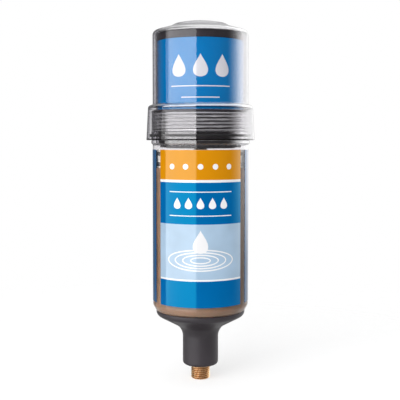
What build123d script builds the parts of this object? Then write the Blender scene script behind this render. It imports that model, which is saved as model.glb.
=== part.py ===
from build123d import *

import os
from math import acos, cos, degrees, pi, radians, sin, tan

# Automatic lubricator: a clear grease canister with a screw-driven piston, a battery drive
# unit that stands on its rim, and a clear cover that screws down over the drive.
#
# Frame: millimetres, +Z up, and the front of the canister faces -Y. The origin is the centre
# of the outlet shoulder, the flat ring that meets the machine round the pipe thread.

# ---- outlet and foot -------------------------------------------------------------------------
PIPE_THREAD_R = 6.58  # G 1/4 male, 13.157 mm over the crests
PIPE_THREAD_LEN = 10.15
RELIEF_R, RELIEF_LEN = 6.2, 0.6  # the undercut between the thread and the shoulder
SHOULDER_BORE_R = 6.9  # the shoulder's countersink, wide enough to clear the thread's crests
OUTLET_BORE_R = 3.0
SHOULDER_R = 10.2
NECK_R = 12.4
FOOT_RIM_R = 30.8
FOOT_TOP_Z = 38.7
FOOT_WALL = 2.2
NIPPLE_HEAD_R = 8.6
NIPPLE_HEAD_Z = 3.0
NIPPLE_TOP_Z = 9.2

# ---- canister --------------------------------------------------------------------------------
BARREL_R = 33.1
BORE_R = 30.8
FLOOR_Z = 41.2
BEAD_Z = 155.5
BEAD_R = 34.1
SEAL_LAND_R = 33.7
SEAL_LAND_TOP_Z = 162.2
THREAD_ROOT_R = 32.7
RIM_Z = 175.5
SPIGOT_R = 8.5
SPIGOT_BORE_R = 5.0
SPIGOT_END_Z = 10.8
LABEL_SKIN = 0.15
LABEL_LOW_Z, LABEL_TOP_Z = 45.9, 150.3
FRONT = 270  # degrees about +Z of the canister's front
FRONT_LABEL_HALF = 54
BACK_LABEL_HALF = 115

# ---- piston and spindle ----------------------------------------------------------------------
PISTON_LOW_Z, PISTON_TOP_Z = 138.0, 150.5
PISTON_R = 30.35
SEAL_R = 30.75  # the rings' outside, a running fit in the bore
SEAL_SECTION = 1.2
PISTON_SEAL_LOW_Z, PISTON_SEAL_TOP_Z = 140.6, 147.6
SPINDLE_R = 4.95
NUT_R = 5.05
JOURNAL_R = 3.0
FOOT_BEARING_TOP_Z = 45.5
SPINDLE_TOP_Z = 159.4
HEX_FLATS = 6.9

# ---- drive unit ------------------------------------------------------------------------------
CHASSIS_R = 29.0
CHASSIS_WALL = 2.0
CHASSIS_BOTTOM_Z, CHASSIS_STEP_Z = 151.7, 153.8
CHASSIS_FLOOR_Z = 155.8
CHASSIS_STEP_R = 24.0
FLANGE_R = 32.8
FLANGE_TOP_Z = 177.0
HOUSING_R = 29.85
HOUSING_WALL = 2.0
HOUSING_TOP_Z = 224.2
CAP_LOW_Z, CAP_TOP_Z = 224.7, 229.9
CAP_R = 30.0
PLATE_Z, PLATE_TOP_Z = 171.0, 173.0
RUNNING = 0.05  # radial play of a shaft in its bearing
EDGE_BREAK = 1.0  # the largest rounding that is made as a flat edge break

# ---- gear train ------------------------------------------------------------------------------
ADDENDUM, DEDENDUM = 0.8, 1.0  # stub teeth, in modules
PRESSURE_ANGLE = radians(20)
BACKLASH = 0.05  # taken off each tooth, at the pitch circle
OUTPUT_TEETH, OUTPUT_MODULE = 30, 0.8
SMALL_TEETH = 12
WHEEL_TEETH, WHEEL_MODULE = 36, 0.5
IDLER = (0.0, OUTPUT_MODULE * (OUTPUT_TEETH + SMALL_TEETH) / 2)
MOTOR_SPREAD = WHEEL_MODULE * (WHEEL_TEETH + SMALL_TEETH) / 2
MOTOR_TURN = degrees(acos(-11 / MOTOR_SPREAD))  # from +X, as the idler sees the motor, below it
MOTOR = (-11.0, IDLER[1] - MOTOR_SPREAD * sin(radians(MOTOR_TURN)))
OUTPUT_GEAR_Z, OUTPUT_GEAR_TOP_Z = 157.9, 161.9
WHEEL_Z, WHEEL_TOP_Z = 163.0, 166.0

# ---- batteries, board and dials --------------------------------------------------------------
CELL_R, CELL_LEN = 7.1, 49.2
CELL_NUB_R, CELL_NUB = 2.7, 1.3
CELL_RING_R = 19.75
CELL_Z = 174.6
CELL_ANGLES = (FRONT - 43, FRONT, FRONT + 43)
BOARD_Z, BOARD_TOP_Z = 219.0, 220.6
BOARD_R = 27.4
DIAL_PLACES = ((-10.0, 8.0), (10.0, 8.0))
DIAL_R = 5.6
DIAL_SHAFT_R = 1.6
LIGHT_PLACES = ((-4.0, 20.0), (4.0, 20.0))
POST_RING_R = 25.2  # of the cap's screws
POST_R = 3.0
PLATE_POST_RING_R = 24.0  # of the gear plate's screws
PLATE_POST_START = -90

# ---- cover -----------------------------------------------------------------------------------
COVER_R = 33.1
COVER_WALL = 2.0
COLLAR_LOW_Z = 156.7
COLLAR_LOW_R, COLLAR_TOP_R = 37.5, 36.3
COLLAR_TOP_Z = 181.2
COLLAR_SEAL_BORE_R = 34.2
COLLAR_THREAD_BORE_R = 33.95
LEDGE_Z = 177.1
COVER_RING_Z = 159.9
COVER_RING_SECTION = 0.8
SHOULDER_Z, STEP_Z, CROWN_Z, APEX_Z = 231.9, 235.1, 236.9, 239.0
STEP_R, CROWN_R = 21.3, 18.2


def polar(radius, angle):
    """The point at a radius and an angle in degrees."""
    return (radius * cos(radians(angle)), radius * sin(radians(angle)))


def round_off(sketch, corners):
    """Round those corners of a sketch that carry a third value, the rounding. A small one is
    a flat edge break."""
    for corner in corners:
        if len(corner) > 2:
            vertex = sketch.vertices().sort_by_distance(corner[:2])[0]
            if corner[2] > EDGE_BREAK:
                fillet(vertex, corner[2])
            else:
                chamfer(vertex, 0.6 * corner[2])


def turned(*corners, mode=Mode.ADD):
    """Revolve a closed profile about the Z axis. A corner is (radius, height) or, where it is
    rounded, (radius, height, rounding)."""
    with BuildSketch(Plane.XZ) as profile:
        with BuildLine():
            Polyline([corner[:2] for corner in corners], close=True)
        make_face()
        round_off(profile, corners)
    revolve(profile.sketch, axis=Axis.Z, mode=mode)


def tube(inner_r, outer_r, low, top, mode=Mode.ADD):
    """A plain ring or tube about the Z axis."""
    turned((inner_r, low), (outer_r, low), (outer_r, top), (inner_r, top), mode=mode)


def seal_ring(middle_r, height, section_r):
    """An O-ring about the Z axis, its round section drawn with twelve sides."""
    with BuildSketch(Plane.XZ) as section:
        with Locations((middle_r, height)):
            RegularPolygon(section_r, 12)
    revolve(section.sketch, axis=Axis.Z)


def pegs(places, radius, low, top, mode=Mode.ADD):
    """A round peg, or hole, at each place."""
    with BuildSketch(Plane.XY.offset(low)) as discs:
        with Locations(*places):
            Circle(radius)
    extrude(discs.sketch, amount=top - low, mode=mode)


def ring_places(radius, count, start):
    """Evenly spaced points on a circle, the first at start degrees."""
    return [polar(radius, start + 360 * i / count) for i in range(count)]


def wedge(half_angle, reach):
    """A fan of points about the origin, centred on the front, that covers an arc."""
    steps = 6
    angles = [FRONT + half_angle * (2 * i / steps - 1) for i in range(steps + 1)]
    return [(0, 0)] + [polar(reach, angle) for angle in angles]


def involute(radius, base_r):
    """The involute function of a circle about a gear's centre."""
    slope = acos(min(1.0, base_r / radius))
    return tan(slope) - slope


def gear_outline(teeth, module, tooth_at):
    """The outline of a spur gear about the origin, with one tooth centred on an angle. A flank
    runs radially from the root to the base circle, then follows the involute to the tip."""
    pitch_r = module * teeth / 2
    base_r = pitch_r * cos(PRESSURE_ANGLE)
    root_r, tip_r = pitch_r - DEDENDUM * module, pitch_r + ADDENDUM * module
    start_r = max(base_r, root_r)
    half_at_pitch = pi / (2 * teeth) - BACKLASH / (2 * pitch_r)
    half_at_base = half_at_pitch + involute(pitch_r, base_r)
    radii = [start_r, (start_r + tip_r) / 2, tip_r]
    flank = [(r, half_at_base - involute(r, base_r)) for r in radii]
    flank.insert(0, (root_r * 0.999, flank[0][1]))
    points = []
    for tooth in range(teeth):
        middle = radians(tooth_at) + 2 * pi * tooth / teeth
        rising = [(r, middle - half) for r, half in flank]
        falling = [(r, middle + half) for r, half in reversed(flank)]
        points += [(r * cos(a), r * sin(a)) for r, a in rising + falling]
    return points


def gear_blank(centre, teeth, module, tooth_at, low, top):
    """A spur gear with straight teeth, standing between two heights."""
    with BuildSketch(Plane.XY.offset(low)) as face:
        with BuildLine():
            moved = [
                (x + centre[0], y + centre[1]) for x, y in gear_outline(teeth, module, tooth_at)
            ]
            Polyline(moved, close=True)
        make_face()
    extrude(face.sketch, amount=top - low)


def screw_group(places, shank_r, head_r, tip_z, seat_z, head_z, key):
    """Screws standing at several places, each with a socket of the given key size."""
    pegs(places, shank_r, tip_z, seat_z)
    pegs(places, head_r, seat_z, head_z)
    with BuildSketch(Plane.XY.offset(head_z)) as sockets:
        with Locations(*places):
            RegularPolygon(key / 2, 6, major_radius=False)
    extrude(sockets.sketch, amount=-0.6 * (head_z - seat_z), mode=Mode.SUBTRACT)


# ==== foot ====================================================================================

flare_slope = (33.3 - 29.8) / (26.5 - 20.1)


def flare_height(radius, above=0.0):
    """Height of the funnel's straight flare at a radius, or of a face a wall above it."""
    return 29.8 + flare_slope * (radius - 20.1) + above


with BuildPart() as base_funnel:
    turned(
        (SHOULDER_BORE_R, 0),
        (NECK_R, 0, NECK_R - SHOULDER_R),
        (NECK_R, flare_height(NECK_R), 10),
        (FOOT_RIM_R, flare_height(FOOT_RIM_R), 3.5),
        (FOOT_RIM_R, FOOT_TOP_Z),
        (RELIEF_R, FOOT_TOP_Z),
        (RELIEF_R, SHOULDER_BORE_R - RELIEF_R),
    )
    # the moulding is hollow: a tube for the canister's spigot, an outer shell, and ribs between
    tube(0, NIPPLE_HEAD_R + 0.1, NIPPLE_HEAD_Z, FOOT_TOP_Z, mode=Mode.SUBTRACT)
    inner_tube_r = NIPPLE_HEAD_R + FOOT_WALL
    shell_r = FOOT_RIM_R - FOOT_WALL
    turned(
        (inner_tube_r, flare_height(inner_tube_r, 2.5)),
        (shell_r, flare_height(shell_r, 2.5)),
        (shell_r, FOOT_TOP_Z),
        (inner_tube_r, FOOT_TOP_Z),
        mode=Mode.SUBTRACT,
    )
    with BuildSketch(Plane.XZ):
        with BuildLine():
            Polyline(
                (inner_tube_r - 0.5, flare_height(inner_tube_r)),
                (shell_r + 0.5, flare_height(shell_r)),
                (shell_r + 0.5, FOOT_TOP_Z),
                (inner_tube_r - 0.5, FOOT_TOP_Z),
                close=True,
            )
        make_face()
    rib = extrude(amount=0.8, both=True, mode=Mode.PRIVATE)
    with PolarLocations(0, 8):
        add(rib)

with BuildPart() as outlet_nipple:
    turned(
        (OUTLET_BORE_R, -PIPE_THREAD_LEN),
        (PIPE_THREAD_R - 0.9, -PIPE_THREAD_LEN),
        (PIPE_THREAD_R, -PIPE_THREAD_LEN + 0.9),
        (PIPE_THREAD_R, -RELIEF_LEN),
        (RELIEF_R, -RELIEF_LEN),
        (RELIEF_R, NIPPLE_HEAD_Z),
        (NIPPLE_HEAD_R, NIPPLE_HEAD_Z),
        (NIPPLE_HEAD_R, NIPPLE_TOP_Z),
        (OUTLET_BORE_R + 1.2, NIPPLE_TOP_Z),
        (OUTLET_BORE_R, NIPPLE_TOP_Z - 1.2),
    )
    # flutes that keep the brass from turning in the moulding
    with BuildSketch(Plane.XY.offset(NIPPLE_HEAD_Z)):
        with PolarLocations(NIPPLE_HEAD_R + 0.2, 16):
            Circle(0.6)
    extrude(amount=NIPPLE_TOP_Z - NIPPLE_HEAD_Z, mode=Mode.SUBTRACT)

with BuildPart() as outlet_o_ring:
    outlet_ring_section = (SPIGOT_END_Z - NIPPLE_TOP_Z) / 2
    seal_ring(6.6, NIPPLE_TOP_Z + outlet_ring_section, outlet_ring_section)

# ==== canister ================================================================================

with BuildPart() as reservoir:
    turned(
        (SPIGOT_BORE_R, SPIGOT_END_Z),
        (SPIGOT_R, SPIGOT_END_Z),
        (SPIGOT_R, FOOT_TOP_Z),
        (BARREL_R, FOOT_TOP_Z, 2.1),
        (BARREL_R, BEAD_Z - 1.8, 1.0),
        (BEAD_R, BEAD_Z - 1.0, 0.4),
        (BEAD_R, BEAD_Z + 1.0, 0.2),
        (SEAL_LAND_R, BEAD_Z + 1.0),
        (SEAL_LAND_R, SEAL_LAND_TOP_Z),
        (THREAD_ROOT_R, SEAL_LAND_TOP_Z + 0.9),
        (THREAD_ROOT_R, RIM_Z, 0.5),
        (BORE_R, RIM_Z, 0.5),
        (BORE_R, FLOOR_Z, 1.2),
        (9.4, FLOOR_Z, 0.8),
        (SPIGOT_BORE_R, FLOOR_Z - 3.4, 1.0),
    )

with BuildPart() as front_label:
    with BuildSketch(Plane.XY.offset(LABEL_LOW_Z)):
        Circle(BARREL_R + LABEL_SKIN)
        Polygon(*wedge(FRONT_LABEL_HALF, 2 * BARREL_R), align=None, mode=Mode.INTERSECT)
        Circle(BARREL_R, mode=Mode.SUBTRACT)
    extrude(amount=LABEL_TOP_Z - LABEL_LOW_Z)

with BuildPart() as back_label:
    with BuildSketch(Plane.XY.offset(LABEL_LOW_Z)):
        Circle(BARREL_R + LABEL_SKIN)
        Circle(BARREL_R, mode=Mode.SUBTRACT)
        Polygon(
            *wedge(180 - BACK_LABEL_HALF, 2 * BARREL_R), align=None, mode=Mode.SUBTRACT
        )
    extrude(amount=LABEL_TOP_Z - LABEL_LOW_Z)

with BuildPart() as foot_bearing:
    tube(JOURNAL_R + RUNNING, 6.0, FLOOR_Z + 0.8, FOOT_BEARING_TOP_Z)
    tube(12.6, 15.2, FLOOR_Z, FOOT_BEARING_TOP_Z - 1.5)
    with BuildSketch(Plane.XY.offset(FLOOR_Z + 0.8)):
        with PolarLocations(9.4, 3, start_angle=90):
            Rectangle(7.6, 2.4)
    extrude(amount=2.0)

with BuildPart() as grease_fill:
    turned(
        (SPINDLE_R + 0.1, FOOT_BEARING_TOP_Z + 0.1),
        (15.4, FOOT_BEARING_TOP_Z + 0.1),
        (15.4, FLOOR_Z + 0.05),
        (SEAL_R, FLOOR_Z + 0.05, 1.4),
        (SEAL_R, PISTON_LOW_Z - 0.05),
        (SPINDLE_R + 0.1, PISTON_LOW_Z - 0.05),
    )

# ==== piston and spindle ======================================================================

with BuildPart() as piston:
    turned(
        (NUT_R, PISTON_LOW_Z),
        (PISTON_R, PISTON_LOW_Z, 0.6),
        (PISTON_R, PISTON_TOP_Z, 0.4),
        (26.4, PISTON_TOP_Z, 0.4),
        (26.4, PISTON_LOW_Z + 2.6, 1.0),
        (9.0, PISTON_LOW_Z + 2.6, 1.0),
        (9.0, PISTON_TOP_Z - 0.6, 0.5),
        (NUT_R, PISTON_TOP_Z - 0.6),
    )
    with BuildSketch(Plane.XY.offset(PISTON_LOW_Z + 1.0)):
        with PolarLocations((9.0 + 26.4) / 2, 8):
            Rectangle(18.4, 1.4)
    extrude(amount=8.5)
    for groove_z in (PISTON_SEAL_LOW_Z, PISTON_SEAL_TOP_Z):
        tube(
            SEAL_R - 2 * SEAL_SECTION, PISTON_R + 1, groove_z - 1.3, groove_z + 1.3,
            mode=Mode.SUBTRACT,
        )
    tube(NUT_R - 0.5, 6.9, PISTON_LOW_Z - 0.1, PISTON_LOW_Z + 1.8, mode=Mode.SUBTRACT)

with BuildPart() as piston_seal_lower:
    seal_ring(SEAL_R - SEAL_SECTION, PISTON_SEAL_LOW_Z, SEAL_SECTION)

with BuildPart() as piston_seal_upper:
    seal_ring(SEAL_R - SEAL_SECTION, PISTON_SEAL_TOP_Z, SEAL_SECTION)

with BuildPart() as spindle_wiper:
    tube(NUT_R, 6.9, PISTON_LOW_Z + 0.2, PISTON_LOW_Z + 1.8)

with BuildPart() as spindle:
    turned(
        (0, FLOOR_Z + 0.9),
        (JOURNAL_R, FLOOR_Z + 0.9),
        (JOURNAL_R, FOOT_BEARING_TOP_Z + 0.1),
        (SPINDLE_R - 0.8, FOOT_BEARING_TOP_Z + 0.1),
        (SPINDLE_R, FOOT_BEARING_TOP_Z + 0.9),
        (SPINDLE_R, CHASSIS_BOTTOM_Z - 0.9),
        (SPINDLE_R - 0.8, CHASSIS_BOTTOM_Z - 0.1),
        (0, CHASSIS_BOTTOM_Z - 0.1),
    )
    with BuildSketch(Plane.XY.offset(CHASSIS_BOTTOM_Z - 0.1)):
        RegularPolygon(HEX_FLATS / 2, 6, major_radius=False)
    extrude(amount=SPINDLE_TOP_Z - CHASSIS_BOTTOM_Z + 0.1)
    chamfer(faces().sort_by(Axis.Z)[-1].edges(), 0.5)

# ==== drive unit: chassis and gear train ======================================================

HUB_R = 6.0
BUSH_R = 8.0

with BuildPart() as drive_chassis:
    turned(
        (BUSH_R, CHASSIS_BOTTOM_Z),
        (CHASSIS_STEP_R, CHASSIS_BOTTOM_Z, 0.6),
        (CHASSIS_STEP_R, CHASSIS_STEP_Z),
        (CHASSIS_R, CHASSIS_STEP_Z, 1.0),
        (CHASSIS_R, RIM_Z),
        (FLANGE_R, RIM_Z, 0.4),
        (FLANGE_R, FLANGE_TOP_Z, 0.4),
        (HOUSING_R - HOUSING_WALL - 0.1, FLANGE_TOP_Z),
        (HOUSING_R - HOUSING_WALL - 0.1, FLANGE_TOP_Z + 2.5),
        (CHASSIS_R - CHASSIS_WALL, FLANGE_TOP_Z + 2.5),
        (CHASSIS_R - CHASSIS_WALL, CHASSIS_FLOOR_Z, 1.0),
        (BUSH_R, CHASSIS_FLOOR_Z),
    )
    # groove for the ring that seals the drive in the canister's mouth
    tube(CHASSIS_R - 0.7, CHASSIS_R + 1, 170.6, 173.0, mode=Mode.SUBTRACT)
    # posts for the gear plate, tied to the wall, and a boss for the idler's pin
    plate_posts = ring_places(PLATE_POST_RING_R, 3, PLATE_POST_START)
    pegs(plate_posts, 2.6, CHASSIS_FLOOR_Z - 0.5, PLATE_Z)
    with BuildSketch(Plane.XY.offset(CHASSIS_FLOOR_Z - 0.5)):
        with PolarLocations(PLATE_POST_RING_R + 1.8, 3, start_angle=PLATE_POST_START):
            Rectangle(3.2, 2.0)
    extrude(amount=PLATE_Z - CHASSIS_FLOOR_Z + 0.5)
    pegs(plate_posts, 1.0, PLATE_Z - 8, PLATE_Z, mode=Mode.SUBTRACT)
    pegs([IDLER], 3.2, CHASSIS_FLOOR_Z - 0.5, OUTPUT_GEAR_Z - 0.6)
    pegs([IDLER], 1.5, CHASSIS_FLOOR_Z - 1.0, OUTPUT_GEAR_Z, mode=Mode.SUBTRACT)
    # stiffening ribs under the flange, on the outside of the gear pocket
    with BuildSketch(Plane.XY.offset(CHASSIS_STEP_Z - 1.6)):
        with PolarLocations(CHASSIS_STEP_R + 1.9, 12):
            Rectangle(4.6, 1.4)
    extrude(amount=1.8)

with BuildPart() as drive_o_ring:
    seal_ring(29.5, 171.8, 1.19)

with BuildPart() as output_bush:
    tube(HUB_R + RUNNING, BUSH_R, CHASSIS_BOTTOM_Z, CHASSIS_FLOOR_Z)
    tube(HUB_R + RUNNING, BUSH_R + 1.5, CHASSIS_FLOOR_Z, CHASSIS_FLOOR_Z + 1.2)

with BuildPart() as thrust_washer:
    tube(HUB_R + RUNNING, BUSH_R + 1.0, CHASSIS_FLOOR_Z + 1.25, OUTPUT_GEAR_Z - 0.05)

with BuildPart() as output_gear:
    gear_blank((0, 0), OUTPUT_TEETH, OUTPUT_MODULE, 90, OUTPUT_GEAR_Z, OUTPUT_GEAR_TOP_Z)
    tube(0, HUB_R, CHASSIS_BOTTOM_Z + 0.4, OUTPUT_GEAR_TOP_Z + 5.5)
    tube(0, 3.0, OUTPUT_GEAR_TOP_Z + 5.5, PLATE_TOP_Z - 0.3)
    with BuildSketch(Plane.XY.offset(CHASSIS_BOTTOM_Z + 0.4)):
        RegularPolygon(HEX_FLATS / 2 + 0.05, 6, major_radius=False)
    extrude(amount=SPINDLE_TOP_Z - CHASSIS_BOTTOM_Z + 0.2, mode=Mode.SUBTRACT)
    # lightening holes in the web
    with BuildSketch(Plane.XY.offset(OUTPUT_GEAR_Z)):
        with PolarLocations(8.6, 6, start_angle=30):
            Circle(1.6)
    extrude(amount=OUTPUT_GEAR_TOP_Z - OUTPUT_GEAR_Z, mode=Mode.SUBTRACT)

gap_below = 360 / SMALL_TEETH / 2  # the small gear shows a gap where the output gear has a tooth

with BuildPart() as idler_gear:
    gear_blank(
        IDLER, SMALL_TEETH, OUTPUT_MODULE, -90 + gap_below,
        OUTPUT_GEAR_Z - 0.3, OUTPUT_GEAR_TOP_Z + 0.3,
    )
    pegs([IDLER], 4.0, OUTPUT_GEAR_TOP_Z + 0.3, WHEEL_Z)
    gear_blank(IDLER, WHEEL_TEETH, WHEEL_MODULE, -MOTOR_TURN, WHEEL_Z, WHEEL_TOP_Z)
    pegs([IDLER], 3.0, WHEEL_TOP_Z, PLATE_Z - 0.3)
    pegs([IDLER], 1.5 + RUNNING, OUTPUT_GEAR_Z - 1, PLATE_Z, mode=Mode.SUBTRACT)

with BuildPart() as idler_pin:
    pegs([IDLER], 1.5, CHASSIS_FLOOR_Z - 1.0, PLATE_TOP_Z)

with BuildPart() as motor_pinion:
    gear_blank(
        MOTOR, SMALL_TEETH, WHEEL_MODULE, 180 - MOTOR_TURN + gap_below,
        WHEEL_Z - 0.4, WHEEL_TOP_Z + 0.4,
    )
    pegs([MOTOR], 1.5, WHEEL_TOP_Z + 0.4, PLATE_TOP_Z - 0.4)

with BuildPart() as gear_plate:
    tube(0, CHASSIS_R - CHASSIS_WALL - 0.2, PLATE_Z, PLATE_TOP_Z)
    pegs([(0, 0)], 3.0 + RUNNING, PLATE_Z, PLATE_TOP_Z, mode=Mode.SUBTRACT)
    pegs([IDLER], 1.5, PLATE_Z, PLATE_TOP_Z, mode=Mode.SUBTRACT)
    pegs([MOTOR], 2.6, PLATE_Z, PLATE_TOP_Z, mode=Mode.SUBTRACT)
    pegs(plate_posts, 1.1, PLATE_Z, PLATE_TOP_Z, mode=Mode.SUBTRACT)
    # windows that show the gears
    with BuildSketch(Plane.XY.offset(PLATE_Z)):
        with PolarLocations(14, 2, start_angle=0, angular_range=90):
            SlotOverall(12, 5, rotation=90)
    extrude(amount=PLATE_TOP_Z - PLATE_Z, mode=Mode.SUBTRACT)

with BuildPart() as gear_plate_screws:
    screw_group(plate_posts, 0.95, 2.0, PLATE_Z - 6, PLATE_TOP_Z, PLATE_TOP_Z + 1.0, 1.8)

# ==== drive unit: motor, batteries and board ==================================================

MOTOR_R = 6.0
GEARBOX_TOP_Z = 182.5
MOTOR_TOP_Z = 200.0
FLAT_HALF = 5.0

with BuildPart() as motor_gearbox:
    with BuildSketch(Plane.XY.offset(PLATE_TOP_Z)):
        with Locations(MOTOR):
            Circle(MOTOR_R)
            Rectangle(2 * MOTOR_R, 2 * FLAT_HALF, mode=Mode.INTERSECT)
    extrude(amount=GEARBOX_TOP_Z - PLATE_TOP_Z)

with BuildPart() as drive_motor:
    with BuildSketch(Plane.XY.offset(GEARBOX_TOP_Z)):
        with Locations(MOTOR):
            Circle(MOTOR_R)
            Rectangle(2 * MOTOR_R, 2 * FLAT_HALF, mode=Mode.INTERSECT)
    extrude(amount=MOTOR_TOP_Z - GEARBOX_TOP_Z)
    chamfer(faces().sort_by(Axis.Z)[-1].edges(), 0.6)
    pegs([MOTOR], 2.2, MOTOR_TOP_Z - 0.1, MOTOR_TOP_Z + 1.2)
    with BuildSketch(Plane.XY.offset(MOTOR_TOP_Z - 0.1)):
        with Locations((MOTOR[0] - 3.8, MOTOR[1]), (MOTOR[0] + 3.8, MOTOR[1])):
            Rectangle(0.5, 2.0)
    extrude(amount=3.2)

cell_places = [polar(CELL_RING_R, angle) for angle in CELL_ANGLES]

with BuildPart() as battery_cradle:
    with BuildSketch(Plane.XY.offset(PLATE_TOP_Z)):
        with Locations(*cell_places):
            Circle(CELL_R + 1.6)
        Circle(CELL_RING_R + 2.0, mode=Mode.INTERSECT)
    extrude(amount=CELL_Z + CELL_LEN - 1.5 - PLATE_TOP_Z)
    pegs(cell_places, CELL_R + 0.3, CELL_Z - 0.6, CELL_Z + CELL_LEN, mode=Mode.SUBTRACT)
    # openings that lighten the cradle and let the cells be pushed out
    for slot_z in (CELL_Z + 14, CELL_Z + 34):
        with BuildSketch(Plane.XY.offset(slot_z)):
            with Locations(*[polar(CELL_RING_R - CELL_R, angle) for angle in CELL_ANGLES]):
                Rectangle(5, 5)
        extrude(amount=8, mode=Mode.SUBTRACT)

battery_cells = []
for cell_place in cell_places:
    with BuildPart() as battery_cell:
        pegs([cell_place], CELL_R, CELL_Z, CELL_Z + CELL_LEN)
        chamfer(edges().filter_by(GeomType.CIRCLE), 0.4)
        pegs([cell_place], CELL_NUB_R, CELL_Z + CELL_LEN - 0.1, CELL_Z + CELL_LEN + CELL_NUB)
    battery_cells.append(battery_cell)

CONTACT = 0.4

with BuildPart() as lower_contacts:
    with BuildSketch(Plane.XY.offset(CELL_Z - CONTACT)):
        with Locations(*cell_places):
            Circle(4.2)
    extrude(amount=CONTACT)

with BuildPart() as upper_contacts:
    contact_z = CELL_Z + CELL_LEN + CELL_NUB
    with BuildSketch(Plane.XY.offset(contact_z)):
        with Locations(*[Location((*cell_places[i], 0), CELL_ANGLES[i]) for i in range(3)]):
            SlotOverall(9, 6)
    extrude(amount=CONTACT)

post_places = [polar(POST_RING_R, angle) for angle in (0, 90, 180)]

with BuildPart() as circuit_board:
    with BuildSketch(Plane.XY.offset(BOARD_Z)):
        Circle(BOARD_R)
        with Locations((0, BOARD_R - 4)):
            Rectangle(2 * BOARD_R, 2 * BOARD_R, mode=Mode.INTERSECT)
        with Locations(*post_places):
            Circle(POST_R + 0.3, mode=Mode.SUBTRACT)
    extrude(amount=BOARD_TOP_Z - BOARD_Z)

with BuildPart() as board_components:
    with BuildSketch(Plane.XY.offset(BOARD_TOP_Z)):
        with Locations((0, 3.5)):
            Rectangle(7, 7)
        with Locations((-18.5, -0.5), (18.5, -0.5)):
            Rectangle(5, 3)
        with GridLocations(2.6, 0, 4, 1):
            with Locations((0, 13)):
                Rectangle(1.2, 2.0)
    extrude(amount=1.2)

with BuildPart() as capacitor:
    pegs([(19, 8)], 3.0, BOARD_TOP_Z, BOARD_TOP_Z + 6.0)
    chamfer(edges().filter_by(GeomType.CIRCLE).sort_by(Axis.Z)[-1], 0.4)

with BuildPart() as dial_switches:
    with BuildSketch(Plane.XY.offset(BOARD_TOP_Z)):
        with Locations(*DIAL_PLACES):
            Rectangle(9, 9)
    extrude(amount=3.0)
    pegs(DIAL_PLACES, DIAL_SHAFT_R + RUNNING, BOARD_TOP_Z + 1.0, BOARD_TOP_Z + 3, mode=Mode.SUBTRACT)

with BuildPart() as status_lights:
    pegs(LIGHT_PLACES, 1.5, BOARD_TOP_Z, BOARD_TOP_Z + 3.0)
    chamfer(edges().filter_by(GeomType.CIRCLE).group_by(Axis.Z)[-1], 0.7)

with BuildPart() as light_windows:
    pegs(LIGHT_PLACES, 1.9, BOARD_TOP_Z + 4.2, CAP_TOP_Z)
    pegs(LIGHT_PLACES, 2.6, BOARD_TOP_Z + 5.6, CAP_TOP_Z - 2.0)

# ==== drive unit: housing, cap and dials ======================================================

with BuildPart() as drive_housing:
    inner_r = HOUSING_R - HOUSING_WALL
    tube(inner_r, HOUSING_R, FLANGE_TOP_Z, HOUSING_TOP_Z)
    with BuildSketch(Plane.XY.offset(205)):
        with Locations(*post_places):
            Circle(POST_R)
        with PolarLocations(inner_r - 1.2, 4, start_angle=28, angular_range=124):
            Rectangle(3.4, 1.6)
        Circle(inner_r + 0.5, mode=Mode.INTERSECT)
    extrude(amount=BOARD_Z - 205)
    pegs(post_places, POST_R, BOARD_Z - 1, HOUSING_TOP_Z)
    pegs(post_places, 1.25, BOARD_Z - 8, HOUSING_TOP_Z, mode=Mode.SUBTRACT)

with BuildPart() as drive_label:
    tube(HOUSING_R, HOUSING_R + LABEL_SKIN, FLANGE_TOP_Z + 0.1, HOUSING_TOP_Z)

with BuildPart() as cap_seal:
    tube(HOUSING_R - HOUSING_WALL, CAP_R - 0.3, HOUSING_TOP_Z, CAP_LOW_Z)

with BuildPart() as drive_cap:
    turned(
        (0, CAP_TOP_Z - 2.0),
        (CAP_R - 2.0, CAP_TOP_Z - 2.0),
        (CAP_R - 2.0, CAP_LOW_Z),
        (CAP_R, CAP_LOW_Z),
        (CAP_R, CAP_TOP_Z, 1.2),
        (0, CAP_TOP_Z),
    )
    pegs(post_places, POST_R - 0.4, CAP_LOW_Z, CAP_TOP_Z - 1.0)
    pegs(post_places, 1.4, CAP_LOW_Z, CAP_TOP_Z, mode=Mode.SUBTRACT)
    pegs(post_places, 2.4, CAP_TOP_Z - 1.5, CAP_TOP_Z, mode=Mode.SUBTRACT)
    # posts that hold the upper contacts down on the cells
    pegs(cell_places, 1.6, contact_z + CONTACT, CAP_TOP_Z - 1.0)
    # a well for each dial, and a seat for each light window
    pegs(DIAL_PLACES, DIAL_R + 1.4, CAP_TOP_Z - 3.2, CAP_TOP_Z - 1.0)
    pegs(DIAL_PLACES, DIAL_R + 0.2, CAP_TOP_Z - 2.4, CAP_TOP_Z, mode=Mode.SUBTRACT)
    pegs(DIAL_PLACES, DIAL_SHAFT_R + 0.3, CAP_LOW_Z, CAP_TOP_Z, mode=Mode.SUBTRACT)
    pegs(LIGHT_PLACES, 1.9, CAP_LOW_Z, CAP_TOP_Z, mode=Mode.SUBTRACT)

with BuildPart() as cap_screws:
    screw_group(post_places, 1.2, 2.2, BOARD_Z - 6, CAP_TOP_Z - 1.5, CAP_TOP_Z - 0.2, 2.0)


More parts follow.
